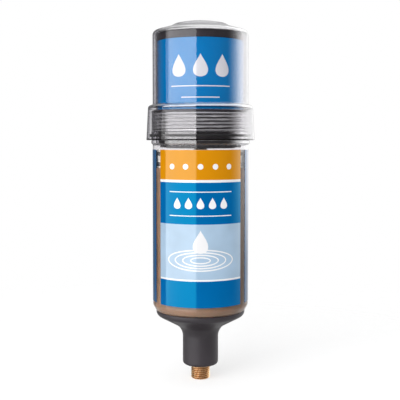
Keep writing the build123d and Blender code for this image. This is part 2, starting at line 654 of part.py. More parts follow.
def dial_body(place):
    """A setting dial: a knurled disc with a raised pointer bar, on a shaft."""
    pegs([place], DIAL_SHAFT_R, BOARD_TOP_Z + 1.2, CAP_TOP_Z - 2.3)
    pegs([place], DIAL_R, CAP_TOP_Z - 2.3, CAP_TOP_Z - 0.9)
    with BuildSketch(Plane.XY.offset(CAP_TOP_Z - 2.3)) as knurl:
        with Locations(place):
            with PolarLocations(DIAL_R + 0.15, 20):
                Circle(0.35)
    extrude(knurl.sketch, amount=1.4, mode=Mode.SUBTRACT)
    with BuildSketch(Plane.XY.offset(CAP_TOP_Z - 0.9)) as pointer:
        with Locations((place[0], place[1] + 0.9)):
            Rectangle(1.8, 2 * DIAL_R - 2.6)
    extrude(pointer.sketch, amount=0.8)
    fillet(faces().sort_by(Axis.Z)[-1].edges(), 0.3)


with BuildPart() as period_dial:
    dial_body(DIAL_PLACES[0])

with BuildPart() as volume_dial:
    dial_body(DIAL_PLACES[1])

# ==== cover ===================================================================================

def domed(*corners, apex_z, mode=Mode.ADD):
    """Revolve an outline that rises from the axis at its foot to the rim of a shallow dome. The
    dome is one arc, level at its apex."""
    foot_z = corners[0][1]
    crown_r, crown_z = corners[-1][:2]
    with BuildSketch(Plane.XZ) as profile:
        with BuildLine():
            Polyline([(0, apex_z), (0, foot_z)] + [corner[:2] for corner in corners])
            TangentArc((0, apex_z), (crown_r, crown_z), tangent=(1, 0))
        make_face()
        round_off(profile, corners)
    revolve(profile.sketch, axis=Axis.Z, mode=mode)


with BuildPart() as cover:
    domed(
        (COLLAR_LOW_R, COLLAR_LOW_Z),
        (COLLAR_TOP_R, COLLAR_TOP_Z - 0.9, 2.2),
        (COVER_R, COLLAR_TOP_Z, 1.2),
        (COVER_R, SHOULDER_Z, 2.2),
        (STEP_R, STEP_Z, 1.6),
        (CROWN_R, CROWN_Z, 1.0),
        apex_z=APEX_Z,
    )
    domed(
        (COLLAR_SEAL_BORE_R + 0.6, COLLAR_LOW_Z),
        (COLLAR_SEAL_BORE_R, COLLAR_LOW_Z + 0.6),
        (COLLAR_SEAL_BORE_R, SEAL_LAND_TOP_Z + 0.4),
        (COLLAR_THREAD_BORE_R, SEAL_LAND_TOP_Z + 0.8),
        (COLLAR_THREAD_BORE_R, LEDGE_Z, 0.5),
        (COVER_R - COVER_WALL, LEDGE_Z, 0.3),
        (COVER_R - COVER_WALL, SHOULDER_Z - COVER_WALL + 0.4, 1.4),
        (STEP_R - 0.6, STEP_Z - COVER_WALL, 1.6),
        (CROWN_R - 0.6, CROWN_Z - COVER_WALL, 1.0),
        apex_z=APEX_Z - COVER_WALL,
        mode=Mode.SUBTRACT,
    )
    cover_ring_r = SEAL_LAND_R + 0.05 + COVER_RING_SECTION
    tube(
        COLLAR_SEAL_BORE_R - 0.5, cover_ring_r + COVER_RING_SECTION + 0.05,
        COVER_RING_Z - 1.0, COVER_RING_Z + 1.0, mode=Mode.SUBTRACT,
    )

with BuildPart() as cover_o_ring:
    seal_ring(cover_ring_r, COVER_RING_Z, COVER_RING_SECTION)

# ==== write the pieces ========================================================================

pieces = {
    "base_funnel": base_funnel,
    "outlet_nipple": outlet_nipple,
    "outlet_o_ring": outlet_o_ring,
    "reservoir": reservoir,
    "front_label": front_label,
    "back_label": back_label,
    "foot_bearing": foot_bearing,
    "grease_fill": grease_fill,
    "piston": piston,
    "piston_seal_lower": piston_seal_lower,
    "piston_seal_upper": piston_seal_upper,
    "spindle_wiper": spindle_wiper,
    "spindle": spindle,
    "drive_chassis": drive_chassis,
    "drive_o_ring": drive_o_ring,
    "output_bush": output_bush,
    "thrust_washer": thrust_washer,
    "output_gear": output_gear,
    "idler_gear": idler_gear,
    "idler_pin": idler_pin,
    "motor_pinion": motor_pinion,
    "gear_plate": gear_plate,
    "gear_plate_screws": gear_plate_screws,
    "motor_gearbox": motor_gearbox,
    "drive_motor": drive_motor,
    "battery_cradle": battery_cradle,
    "battery_cell_1": battery_cells[0],
    "battery_cell_2": battery_cells[1],
    "battery_cell_3": battery_cells[2],
    "lower_contacts": lower_contacts,
    "upper_contacts": upper_contacts,
    "circuit_board": circuit_board,
    "board_components": board_components,
    "capacitor": capacitor,
    "dial_switches": dial_switches,
    "status_lights": status_lights,
    "light_windows": light_windows,
    "drive_housing": drive_housing,
    "drive_label": drive_label,
    "cap_seal": cap_seal,
    "drive_cap": drive_cap,
    "cap_screws": cap_screws,
    "period_dial": period_dial,
    "volume_dial": volume_dial,
    "cover": cover,
    "cover_o_ring": cover_o_ring,
}

os.makedirs("parts", exist_ok=True)
for name, piece in pieces.items():
    piece.part.label = name
    export_step(piece.part, f"parts/{name}.step")
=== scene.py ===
from math import cos, pi, radians, sin

import bmesh
import bpy
import numpy as np
from mathutils import Matrix, Vector


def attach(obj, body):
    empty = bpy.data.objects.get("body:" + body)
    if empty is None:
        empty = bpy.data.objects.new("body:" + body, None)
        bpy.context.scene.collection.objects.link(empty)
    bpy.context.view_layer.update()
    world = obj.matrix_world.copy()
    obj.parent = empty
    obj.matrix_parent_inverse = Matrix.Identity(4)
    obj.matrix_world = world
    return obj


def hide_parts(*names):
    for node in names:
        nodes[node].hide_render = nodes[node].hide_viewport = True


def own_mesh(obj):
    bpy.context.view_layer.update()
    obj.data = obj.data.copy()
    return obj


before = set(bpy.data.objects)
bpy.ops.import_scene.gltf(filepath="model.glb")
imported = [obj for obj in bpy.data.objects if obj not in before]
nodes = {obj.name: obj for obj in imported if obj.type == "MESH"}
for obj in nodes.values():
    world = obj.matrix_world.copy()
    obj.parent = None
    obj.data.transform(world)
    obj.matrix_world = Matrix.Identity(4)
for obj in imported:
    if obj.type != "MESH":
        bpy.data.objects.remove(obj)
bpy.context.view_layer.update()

# Dressing for the automatic lubricator: clear mouldings with their screw threads, printed
# labels, grease, the brass connector's pipe thread, finishes for every node, lamps and camera.
# The shapes are written in millimetres, and make_piece makes them metres. The floor, the lamps
# and the camera are in metres. Angles round the axis are in radians, but in degrees for labels.

MM = 0.001
ARC_STEPS = 6  # facets of a rounded corner
CRISP = radians(32)  # edges over this angle stay crisp


# ==== surfaces ================================================================================

def placed(name, data):
    """A new object that holds the data, in the scene."""
    item = bpy.data.objects.new(name, data)
    bpy.context.scene.collection.objects.link(item)
    return item


def rounded(corners):
    """A profile through corners (radius, height, rounding). A rounded corner becomes an arc that
    touches both runs: its centre lies on the bisector, rounding / sin(half the angle) away."""
    count = len(corners)
    points = []
    for i, corner in enumerate(corners):
        here = np.array(corner[:2], float)
        rounding = corner[2] if len(corner) > 2 else 0.0
        if rounding <= 0:
            points.append(here)
            continue
        before = np.array(corners[i - 1][:2], float) - here
        after = np.array(corners[(i + 1) % count][:2], float) - here
        before /= np.linalg.norm(before)
        after /= np.linalg.norm(after)
        half = np.arccos(np.clip(before @ after, -1, 1)) / 2
        bisector = (before + after) / np.linalg.norm(before + after)
        centre = here + bisector * rounding / np.sin(half)
        start = here + before * rounding / np.tan(half) - centre
        end = here + after * rounding / np.tan(half) - centre
        a0 = np.arctan2(start[1], start[0])
        turn = (np.arctan2(end[1], end[0]) - a0 + pi) % (2 * pi) - pi
        for a in a0 + turn * np.linspace(0, 1, ARC_STEPS + 1):
            points.append(centre + rounding * np.array([np.cos(a), np.sin(a)]))
    return np.array(points)


def refined(profile, low, top, step):
    """The profile with its runs between two heights cut into steps, so that a thread can follow."""
    out = [profile[0]]
    for a, b in zip(profile[:-1], profile[1:]):
        inside = min(a[1], b[1]) < top and max(a[1], b[1]) > low
        pieces = max(1, int(np.ceil(abs(b[1] - a[1]) / step))) if inside else 1
        out += [a + (b - a) * t for t in np.linspace(0, 1, pieces + 1)[1:]]
    return np.array(out)


def make_piece(name, points_mm, faces, slot, body, replaced=(), inks=(), fields=None):
    """A smooth mesh piece from points in millimetres, with its sharp edges kept crisp and its
    faces turned outwards. Where it has several inks, fields gives each face's."""
    mesh = bpy.data.meshes.new(name)
    mesh.from_pydata((points_mm * MM).tolist(), [], faces)
    if fields is not None:
        mesh.polygons.foreach_set("material_index", np.asarray(fields, np.int32))
    shell = bmesh.new()
    shell.from_mesh(mesh)
    if shell.calc_volume(signed=True) < 0:
        bmesh.ops.reverse_faces(shell, faces=shell.faces)
    shell.to_mesh(mesh)
    shell.free()
    mesh.polygons.foreach_set("use_smooth", np.ones(len(mesh.polygons), bool))
    mesh.set_sharp_from_angle(angle=CRISP)
    mesh.update()
    piece = placed(name, mesh)
    for ink in inks or [finishes[slot]]:
        mesh.materials.append(ink)
    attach(piece, body)
    if replaced:
        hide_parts(*replaced)
    return piece


def lathe(name, profile, slot, body, replaced=(), around=192, shift=None, **settings):
    """A surface of revolution: point = (r cos a, r sin a, z) for each profile point (r, z) and
    each angle a, with r moved by shift(a, r, z). A profile that starts and ends on the axis is
    closed with poles there, and any other is a ring whose last point joins its first."""
    on_axis = profile[0][0] < 1e-9 and profile[-1][0] < 1e-9
    rings = profile[1:-1] if on_axis else profile
    a = np.linspace(0, 2 * pi, around, endpoint=False)
    r = np.repeat(rings[:, :1], around, axis=1)
    z = np.repeat(rings[:, 1:], around, axis=1)
    angle = np.repeat(a[None, :], len(rings), axis=0)
    if shift is not None:
        r = r + shift(angle, r, z)
    points = np.stack([r * np.cos(angle), r * np.sin(angle), z], -1).reshape(-1, 3)
    count = len(rings)
    col = np.arange(around)
    i, j = np.meshgrid(np.arange(count - 1 if on_axis else count), col, indexing="ij")
    i2, j2 = (i + 1) % count, (j + 1) % around
    quads = np.stack([i * around + j, i2 * around + j, i2 * around + j2, i * around + j2], -1)
    faces = quads.reshape(-1, 4).tolist()
    if on_axis:
        poles = len(points)
        points = np.vstack([points, [[0, 0, profile[0][1]], [0, 0, profile[-1][1]]]])
        last = (count - 1) * around
        nxt = (col + 1) % around
        faces += np.stack([np.full(around, poles), col, nxt], -1).tolist()
        faces += np.stack([np.full(around, poles + 1), last + nxt, last + col], -1).tolist()
    return make_piece(name, points, faces, slot, body, replaced, **settings)


def swept(grid, closed, start):
    """The faces of a solid swept from closed sections, grid[u, v] being point v of section u, and
    numbered start + u * columns + v. The ends are capped, or joined to each other where closed."""
    rows, cols = grid.shape[:2]
    u, v = np.meshgrid(np.arange(rows if closed else rows - 1), np.arange(cols), indexing="ij")
    u2, v2 = (u + 1) % rows, (v + 1) % cols
    quads = np.stack([u * cols + v, u2 * cols + v, u2 * cols + v2, u * cols + v2], -1) + start
    faces = quads.reshape(-1, 4).tolist()
    if not closed:
        last = start + (rows - 1) * cols
        faces += [list(range(start + cols - 1, start - 1, -1)), list(range(last, last + cols))]
    return faces


def sweep_all(name, grids, slot, body, replaced=(), closed=False, **settings):
    """One piece from several swept solids: the points of each grid, one grid after another."""
    points, faces = [], []
    start = 0
    for grid in grids:
        faces += swept(grid, closed, start)
        points.append(grid.reshape(-1, 3))
        start += len(points[-1])
    return make_piece(name, np.vstack(points), faces, slot, body, replaced, **settings)


def on_cylinder(across, up, radius, lift=0.0):
    """The point at a distance across, measured round a cylinder from its front (-Y), and a
    height: (r sin(s / R), -r cos(s / R), z), with r the radius and a lift off the surface."""
    a = across / radius
    r = radius + lift
    return np.stack([r * np.sin(a), -r * np.cos(a), up + 0 * a], -1)


# ==== finishes ================================================================================

def set_value(shader, **values):
    """Set plain values on the shader's own sockets, named with underscores for spaces."""
    for key, value in values.items():
        socket = shader.inputs[key.replace("_", " ")]
        socket.default_value = (*value, 1.0) if isinstance(value, tuple) else value


def linear(r, g, b):
    """A colour written as 0-255 on screen, as the shader's linear light values."""
    c = np.array([r, g, b], float) / 255
    return tuple(float(x) for x in np.where(c <= 0.04045, c / 12.92, ((c + 0.055) / 1.055) ** 2.4))


def set_range(node, *levels):
    """Set a Map Range node's levels."""
    for key, level in zip(("From Min", "From Max", "To Min", "To Max"), levels):
        node.inputs[key].default_value = level


class Finish:
    """A material under construction, whose nodes read Object coordinates."""

    def __init__(self, name):
        self.material = bpy.data.materials.new(name)
        self.material.use_nodes = True
        self.tree = self.material.node_tree
        self.tree.nodes.clear()
        self.out = self.add("ShaderNodeOutputMaterial")
        self.place = self.add("ShaderNodeTexCoord").outputs["Object"]
        self.shader = self.add("ShaderNodeBsdfPrincipled")
        self.join(self.shader.outputs[0], self.out.inputs["Surface"])

    def add(self, kind, **settings):
        """A new node of a kind, with its settings."""
        node = self.tree.nodes.new(kind)
        for key, value in settings.items():
            setattr(node, key, value)
        return node

    def join(self, source, target):
        """A link from an output to an input."""
        self.tree.links.new(source, target)

    def noise(self, scale, detail, stretch=(1, 1, 1)):
        """Noise of a number of cells per metre, drawn out along the axes by stretch."""
        spread = self.add("ShaderNodeMapping")
        spread.inputs["Scale"].default_value = stretch
        self.join(self.place, spread.inputs["Vector"])
        node = self.add("ShaderNodeTexNoise")
        node.inputs["Scale"].default_value = scale
        node.inputs["Detail"].default_value = detail
        self.join(spread.outputs[0], node.inputs["Vector"])
        return node.outputs["Fac"]

    def ramp(self, source, low, high, colours):
        """Two colours, or values, spread between two levels of a source."""
        node = self.add("ShaderNodeValToRGB")
        node.color_ramp.elements[0].position = low
        node.color_ramp.elements[1].position = high
        node.color_ramp.elements[0].color = (*colours[0], 1)
        node.color_ramp.elements[1].color = (*colours[1], 1)
        self.join(source, node.inputs["Fac"])
        return node.outputs["Color"]

    def spread(self, source, low, high):
        """A source from 0.3 to 0.7 mapped to a range of values."""
        node = self.add("ShaderNodeMapRange")
        set_range(node, 0.3, 0.7, low, high)
        self.join(source, node.inputs["Value"])
        return node.outputs["Result"]

    def bump(self, source, depth, strength):
        """Relief of a depth in metres."""
        node = self.add("ShaderNodeBump")
        node.inputs["Strength"].default_value = strength
        node.inputs["Distance"].default_value = depth
        self.join(source, node.inputs["Height"])
        self.join(node.outputs["Normal"], self.shader.inputs["Normal"])


def varied(colour, amount):
    """Two neighbours of a colour, darker and lighter by an amount."""
    return tuple(c * (1 - amount) for c in colour), tuple(min(1, c * (1 + amount)) for c in colour)


def moulded(name, colour, rough, grain=2600, depth=0.00002, amount=0.08, **values):
    """Moulded plastic or rubber: a fine spark-eroded grain, slightly uneven colour and gloss."""
    f = Finish(name)
    cloud = f.noise(60, 3)
    f.join(f.ramp(cloud, 0.3, 0.7, varied(colour, amount)), f.shader.inputs["Base Color"])
    fine = f.noise(grain, 2)
    f.join(f.spread(fine, rough - 0.06, rough + 0.06), f.shader.inputs["Roughness"])
    if depth:
        f.bump(fine, depth, 0.5)
    set_value(f.shader, **values)
    return f.material


def metal(name, colour, rough, stretch=(1, 1, 1)):
    """Bare metal: fine lines left by the tool, drawn out by stretch, and faint tarnish."""
    f = Finish(name)
    cloud = f.noise(120, 4)
    f.join(f.ramp(cloud, 0.25, 0.75, varied(colour, 0.12)), f.shader.inputs["Base Color"])
    lines = f.noise(900, 2, stretch)
    f.join(f.spread(lines, rough - 0.1, rough + 0.1), f.shader.inputs["Roughness"])
    f.bump(lines, 0.000006, 0.4)
    set_value(f.shader, Metallic=1.0)
    return f.material


def printed(name, colour, tint, amount=0.03, level=0.6):
    """Ink under a glossy film: the sheen takes some of the ink's colour."""
    f = Finish(name)
    cloud = f.noise(45, 2)
    f.join(f.ramp(cloud, 0.3, 0.7, varied(colour, amount)), f.shader.inputs["Base Color"])
    film = f.noise(160, 2)
    f.join(f.spread(film, 0.08, 0.12), f.shader.inputs["Roughness"])
    set_value(f.shader, IOR=1.8, Specular_IOR_Level=level, Specular_Tint=tint)
    return f.material


def clear(name, colour, smoke, density):
    """Clear moulded plastic that bends light, with faint flow marks, and takes a little of it on
    the way through, more where a wall is seen edge on. Lamps reach what is inside through a
    Transparent shader of the same colour."""
    f = Finish(name)
    flow = f.noise(90, 3, (1, 1, 0.35))
    f.join(f.spread(flow, 0.006, 0.024), f.shader.inputs["Roughness"])
    f.join(f.ramp(flow, 0.2, 0.8, varied(colour, 0.01)), f.shader.inputs["Base Color"])
    set_value(f.shader, Transmission_Weight=1.0, IOR=1.5)
    path = f.add("ShaderNodeLightPath")
    passing = f.add("ShaderNodeBsdfTransparent")
    passing.inputs["Color"].default_value = (*colour, 1)
    mix = f.add("ShaderNodeMixShader")
    f.join(path.outputs["Is Shadow Ray"], mix.inputs["Fac"])
    f.join(f.shader.outputs[0], mix.inputs[1])
    f.join(passing.outputs[0], mix.inputs[2])
    f.join(mix.outputs[0], f.out.inputs["Surface"])
    depth = f.add("ShaderNodeVolumeAbsorption")
    depth.inputs["Color"].default_value = (*smoke, 1)
    depth.inputs["Density"].default_value = density
    f.join(depth.outputs[0], f.out.inputs["Volume"])
    return f.material


def thin_clear(name, smoke, rough=0.02, facing_gloss=0.04, face=(0.985, 0.98, 0.988), painted_haze=0.0):
    """A thin clear wall: it lets the view straight through, and turns smoky and shiny towards
    grazing sight. Its gloss grows as g + (1 - g) f^3, with g the gloss where it is faced, and f
    from 0 faced to 1 edge on. The last argument is the share of what it lets through that a pale
    diffuse haze takes instead: painted reflection, standing in for the light that a fine thread's
    flanks turn round inside them."""
    f = Finish(name)
    f.tree.nodes.remove(f.shader)
    sight = f.add("ShaderNodeLayerWeight")
    sight.inputs["Blend"].default_value = 0.5
    edge = f.add("ShaderNodeMath", operation="POWER")
    edge.inputs[1].default_value = 3.0
    f.join(sight.outputs["Facing"], edge.inputs[0])
    gloss = f.add("ShaderNodeMapRange")
    gloss.inputs["To Min"].default_value = facing_gloss
    f.join(edge.outputs[0], gloss.inputs["Value"])
    body = f.add("ShaderNodeBsdfTransparent")
    f.join(f.ramp(sight.outputs["Facing"], 0.5, 0.98, (face, smoke)), body.inputs["Color"])
    if painted_haze:
        # painted reflection: a pale diffuse haze in place of the light turned round inside a thread
        haze = f.add("ShaderNodeBsdfDiffuse")
        haze.inputs["Color"].default_value = (0.86, 0.85, 0.88, 1)
        veil = f.add("ShaderNodeMixShader")
        veil.inputs["Fac"].default_value = painted_haze
        f.join(body.outputs[0], veil.inputs[1])
        f.join(haze.outputs[0], veil.inputs[2])
        body = veil
    shine = f.add("ShaderNodeBsdfGlossy")
    f.join(f.spread(f.noise(90, 3), rough * 0.6, rough * 1.6), shine.inputs["Roughness"])
    mix = f.add("ShaderNodeMixShader")
    f.join(gloss.outputs["Result"], mix.inputs["Fac"])
    f.join(body.outputs[0], mix.inputs[1])
    f.join(shine.outputs[0], mix.inputs[2])
    f.join(mix.outputs[0], f.out.inputs["Surface"])
    return f.material


BLUE = linear(2, 104, 172)
ORANGE = linear(222, 145, 5)

finishes = {
    "black_plastic": moulded("black_moulding", linear(54, 49, 54), 0.42, depth=0.000015),
    "brass": metal("brass", linear(253, 212, 166), 0.34, (1, 1, 14)),
    "black_rubber": moulded("black_rubber", linear(30, 30, 31), 0.62, 1500, amount=0.15),
    "clear_canister": clear("clear_canister", (0.98, 0.975, 0.98), (0.80, 0.78, 0.82), 110.0),
    "clear_cover": thin_clear("clear_cover", (0.30, 0.29, 0.34)),
    "front_label": printed("label_blue", BLUE, (0.03, 0.8, 1.0)),
    "back_label": printed("back_label_blue", linear(14, 84, 134), (0.8, 0.85, 1.0)),
    "drive_label": printed("drive_label_blue", linear(0, 134, 206), (0.7, 0.9, 1.0), level=0.7),
    "grease": moulded("grease", linear(158, 124, 96), 0.35, 220, 0.0002, 0.1,
                      Subsurface_Weight=0.15, Subsurface_Scale=0.002),
    "natural_plastic": moulded("natural_acetal", linear(226, 222, 210), 0.38),
    "spindle_plastic": moulded("grey_acetal", linear(196, 197, 198), 0.36),
    "steel": metal("zinc_plated_steel", linear(176, 178, 182), 0.28, (1, 1, 6)),
    "pinion_brass": metal("pinion_brass", linear(206, 172, 104), 0.26, (1, 1, 8)),
    "gearbox_plastic": moulded("gearbox_moulding", linear(72, 74, 78), 0.45),
    "cradle_plastic": moulded("cradle_moulding", linear(58, 60, 64), 0.5),
    "cell_wrap": moulded("cell_wrap", linear(36, 70, 108), 0.25, 400, 0.000004, 0.05),
    "contact_metal": metal("contact_metal", linear(198, 196, 190), 0.22),
    "board": moulded("board_lacquer", linear(24, 88, 58), 0.3, 900, 0.000008, 0.12),
    "component_black": moulded("component_black", linear(34, 34, 36), 0.5),
    "capacitor_sleeve": moulded("capacitor_sleeve", linear(28, 34, 64), 0.3),
    "light_lens": moulded("light_lens", linear(206, 226, 206), 0.12, depth=0, amount=0.04,
                          Transmission_Weight=0.4),
    "window_plastic": moulded("window_plastic", linear(224, 228, 230), 0.08, depth=0, amount=0.02,
                              Transmission_Weight=0.8),
    "dial_plastic": moulded("dial_moulding", linear(222, 223, 224), 0.34),
}
for node in nodes.values():
    for material_slot in node.material_slots:
        material_slot.material = finishes[material_slot.material.name.split(".")[0]]


# ==== clear mouldings and their screw thread ==================================================

THREAD_PITCH = 2.3
ROOT_R, MOUTH_DEPTH = 32.7, 0.9
COLLAR_ROOT_R, COLLAR_DEPTH = 33.95, 0.12  # the collar's thread is shallow and only guides
AROUND = 240  # steps round the canister and the cover
RING_STEP = 0.16  # height between two rings where there is thread
NEAR = 0.02  # a point this near to a radius counts as on it


def thread_form(angle, z, pitch, softness=0.55):
    """Height of a right-hand thread, 0 at the root to 1 at the crest: a cosine of the turns up
    the screw, clipped so that crest and root have flats."""
    turns = z / pitch - angle / (2 * pi)
    return np.clip(0.5 + softness * np.cos(2 * pi * turns), 0, 1)


def fade(z, low, top, run):
    """1 between two heights, falling smoothly to 0 over a run at each end."""
    t = np.clip(np.minimum(z - low, top - z) / run, 0, 1)
    return t * t * (3 - 2 * t)


def mouth_thread(angle, r, z):
    """The canister's outside thread: the form times its depth, out from the root."""
    on = (np.abs(r - ROOT_R) < NEAR) * fade(z, 163.3, 175.0, 0.9)
    return MOUTH_DEPTH * thread_form(angle, z, THREAD_PITCH) * on


def collar_thread(angle, r, z):
    """The collar's inside thread: in from its root by its depth wherever the canister's thread
    is low, so that the two stay a third of a millimetre apart or more."""
    on = (np.abs(r - COLLAR_ROOT_R) < NEAR) * fade(z, 163.6, 176.6, 0.9)
    return -COLLAR_DEPTH * (1 - thread_form(angle, z, THREAD_PITCH)) * on


def paired(on):
    """Which bands of faces have both their rings picked, the last ring being next to the first."""
    return on & np.roll(on, -1)


canister_profile = rounded([
    (5.0, 10.8), (8.5, 10.8), (8.5, 38.8), (30.9, 38.8, 1.2), (33.1, 42.8, 2.8),
    (33.1, 153.7, 1.0), (34.1, 154.5, 0.4), (34.1, 156.5, 0.3), (33.7, 156.6), (33.7, 162.2, 0.3),
    (ROOT_R, 163.1, 0.2), (ROOT_R, 175.5, 0.5), (30.8, 175.5, 0.5), (30.8, 153.6),
    (30.8, 43.4, 1.8), (29.5, 39.7, 0.8), (17.0, 39.7, 0.3), (16.4, 41.2, 0.3),
    (9.4, 41.2, 0.8), (5.0, 37.8, 1.0),
])
canister_rings = refined(canister_profile, 163.2, 175.1, RING_STEP)
# the thin-walled neck, and on it the thread, whose upper flanks turn the light round inside them,
# so that they look silvery: that silver is painted reflection, a pale haze and strong gloss on the
# upper flanks only
NECK_Z, MOUTH_THREAD_Z = 153.5, 163.0
neck = thin_clear("clear_neck", (0.5, 0.48, 0.54), 0.03, 0.19)
flank_painted_reflection = thin_clear("clear_thread_painted_reflection", (0.5, 0.48, 0.54), 0.03, 0.6, painted_haze=0.8)
canister_r, canister_z = canister_rings[:, 0], canister_rings[:, 1]
on_neck = paired(canister_z > NECK_Z)
on_mouth = paired((np.abs(canister_r - ROOT_R) < NEAR) & (canister_z > MOUTH_THREAD_Z))
# turns up the thread at the middle of each face: the upper flank is the first half of each
face_turns = ((canister_rings[:, 1:] + RING_STEP / 2) / THREAD_PITCH
              - np.linspace(0, 1, AROUND, endpoint=False))
upper_flank = on_mouth[:, None] & (face_turns % 1 < 0.5)
canister_fields = on_neck[:, None] + upper_flank.astype(int)
lathe("canister", canister_rings, "clear_canister", "lubricator_body", ["reservoir"],
      around=AROUND, shift=mouth_thread, inks=[finishes["clear_canister"], neck, flank_painted_reflection],
      fields=canister_fields.ravel())


def dome(apex_z, crown_r, crown_z, start_r):
    """An arc from a radius in to the axis: z = apex - R + sqrt(R^2 - r^2), with R from the
    crown's radius c and height h as (c^2 + h^2) / 2h."""
    height = apex_z - crown_z
    big_r = (crown_r**2 + height**2) / (2 * height)
    r = np.linspace(start_r, 0, 14)
    return np.stack([r, apex_z - big_r + np.sqrt(big_r**2 - r**2)], -1)


APEX_Z, INNER_APEX_Z = 238.5, 236.8
outer_dome = dome(APEX_Z, 18.2, 236.3, 15.5)
inner_dome = dome(INNER_APEX_Z, 17.6, 234.7, 15.0)
cover_walls = rounded([
    (0.0, APEX_Z), tuple(outer_dome[0]), (18.2, 236.3, 1.2), (21.3, 234.6, 2.0),
    (33.1, 231.2, 3.2), (33.1, 181.2, 1.2), (36.3, 180.3, 2.2), (37.45, 157.6), (37.5, 156.7, 0.4),
    (34.8, 156.7), (34.2, 157.3), (34.2, 158.9), (35.4, 158.9), (35.4, 160.9), (34.2, 160.9),
    (34.2, 162.6), (COLLAR_ROOT_R, 163.0), (COLLAR_ROOT_R, 177.1, 0.5), (31.1, 177.1, 0.5),
    (31.1, 230.2, 1.4), (20.7, 232.9, 1.6), (17.6, 234.7, 1.0), tuple(inner_dome[0]),
    (0.0, INNER_APEX_Z),
])
cover_profile = np.vstack([outer_dome[::-1], cover_walls[2:-2], inner_dome])
cover_rings = refined(cover_profile, 163.4, 176.8, RING_STEP)
# the step above the collar and the shoulder are thick, and shine; the collar's wall turns darker
# towards its sides; and its lip and its top edge get a near-black clear, painted shade standing in
# for the dark lines that these clear edges show
step_clear = thin_clear("clear_step", (0.30, 0.29, 0.34), 0.02, 0.5)
collar_clear = thin_clear("clear_collar", (0.26, 0.25, 0.29))
# painted shade: a clear that lets little through, for the dark lines at the collar's lip and top
# edge
lip_painted_shade = thin_clear("clear_lip_painted_shade", (0.05, 0.05, 0.06), face=(0.16, 0.15, 0.17))
shoulder_clear = thin_clear("clear_shoulder", (0.36, 0.35, 0.4), 0.03, 0.5)
cover_inks = [finishes["clear_cover"], step_clear, collar_clear, lip_painted_shade, shoulder_clear]
# the cover's bands: between which heights, and which of the inks
COVER_BANDS = [(229.2, 233.6, 4), (178.7, 181.2, 1), (178.2, 178.8, 3), (157.5, 178.3, 2),
               (156.6, 157.7, 3)]
# a point is on the cover's outside if its radius is more than this at its height
OUTSIDE_Z = [178.0, 178.1, 200.0, 200.1, 228.0, 228.1]
OUTSIDE_R = [36.0, 33.2, 33.2, 33.0, 32.0, 22.0]


def cover_fields():
    """The ink of each face of the cover: its band's on the outside, and plain elsewhere. The
    poles' triangles come last."""
    r, z = cover_rings[1:-1, 0], cover_rings[1:-1, 1]
    outside = r > np.interp(z, OUTSIDE_Z, OUTSIDE_R)
    fields = np.zeros(len(r) - 1, int)
    for low, high, ink in COVER_BANDS:
        within = outside & (z > low) & (z < high)
        fields[within[:-1] & within[1:]] = ink
    return np.concatenate([np.repeat(fields, AROUND), np.zeros(2 * AROUND, int)])


lathe("clear_cover", cover_rings, "clear_cover", "cover_shell", ["cover"], around=AROUND,
      shift=collar_thread, inks=cover_inks, fields=cover_fields())


def torus(name, middle_r, height, section_r, body, replaced):
    """An O-ring: a circle of 24 points carried round the axis."""
    t = np.linspace(0, 2 * pi, 24, endpoint=False)
    section = np.stack([middle_r + section_r * np.cos(t), height + section_r * np.sin(t)], -1)
    lathe(name, section, "black_rubber", body, [replaced], around=160)


torus("cover_ring", 34.55, 159.9, 0.8, "cover_seat", "cover_o_ring")
torus("mouth_ring", 29.5, 171.8, 1.19, "lubricator_body", "drive_o_ring")
torus("piston_ring_lower", 29.55, 140.6, 1.2, "piston_set", "piston_seal_lower")
torus("piston_ring_upper", 29.55, 147.6, 1.2, "piston_set", "piston_seal_upper")


# ==== grease, connector and spindle ===========================================================

# the grease wets the wall: its skin lies a few hundredths inside the plastic, so that no air
# shows between them
GREASE_R, GREASE_LOW = 30.84, 39.66
grease_profile = rounded([
    (5.05, 45.6), (15.4, 45.6), (15.4, 41.16), (16.45, 41.16), (16.95, GREASE_LOW),
    (29.52, GREASE_LOW, 0.8), (GREASE_R, 43.4, 1.8), (GREASE_R, 137.95), (5.05, 137.95),
])
grease = lathe("grease_column", grease_profile, "grease", "lubricator_body", ["grease_fill"])
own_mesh(grease)

PIPE_PITCH, PIPE_SOFTNESS = 1.337, 0.6
PIPE_CREST_R, PIPE_DEPTH = 6.58, 0.856
PIPE_AROUND, PIPE_STEP = 160, 0.09


def pipe_thread(angle, r, z):
    """Whitworth form: the crests keep the nominal radius and the roots sink by the depth. The
    sixteen flutes in the head sink by half of cos(16 a) - 0.3, where that is above 0."""
    on = (np.abs(r - PIPE_CREST_R) < NEAR) * fade(z, -10.4, 0.4, 0.3)
    flutes = (r > 8.4) * np.clip(np.cos(16 * angle) - 0.3, 0, 1)
    form = thread_form(angle, z, PIPE_PITCH, PIPE_SOFTNESS)
    return -PIPE_DEPTH * (1 - form) * on - 0.5 * flutes


nipple_profile = rounded([
    (3.0, -10.15, 0.3), (5.68, -10.15), (PIPE_CREST_R, -9.35), (PIPE_CREST_R, -0.35),
    (6.2, 0.0), (6.2, 3.0), (8.6, 3.0), (8.6, 9.2), (4.2, 9.2), (3.0, 8.0),
])
nipple_rings = refined(nipple_profile, -9.4, -0.3, PIPE_STEP)
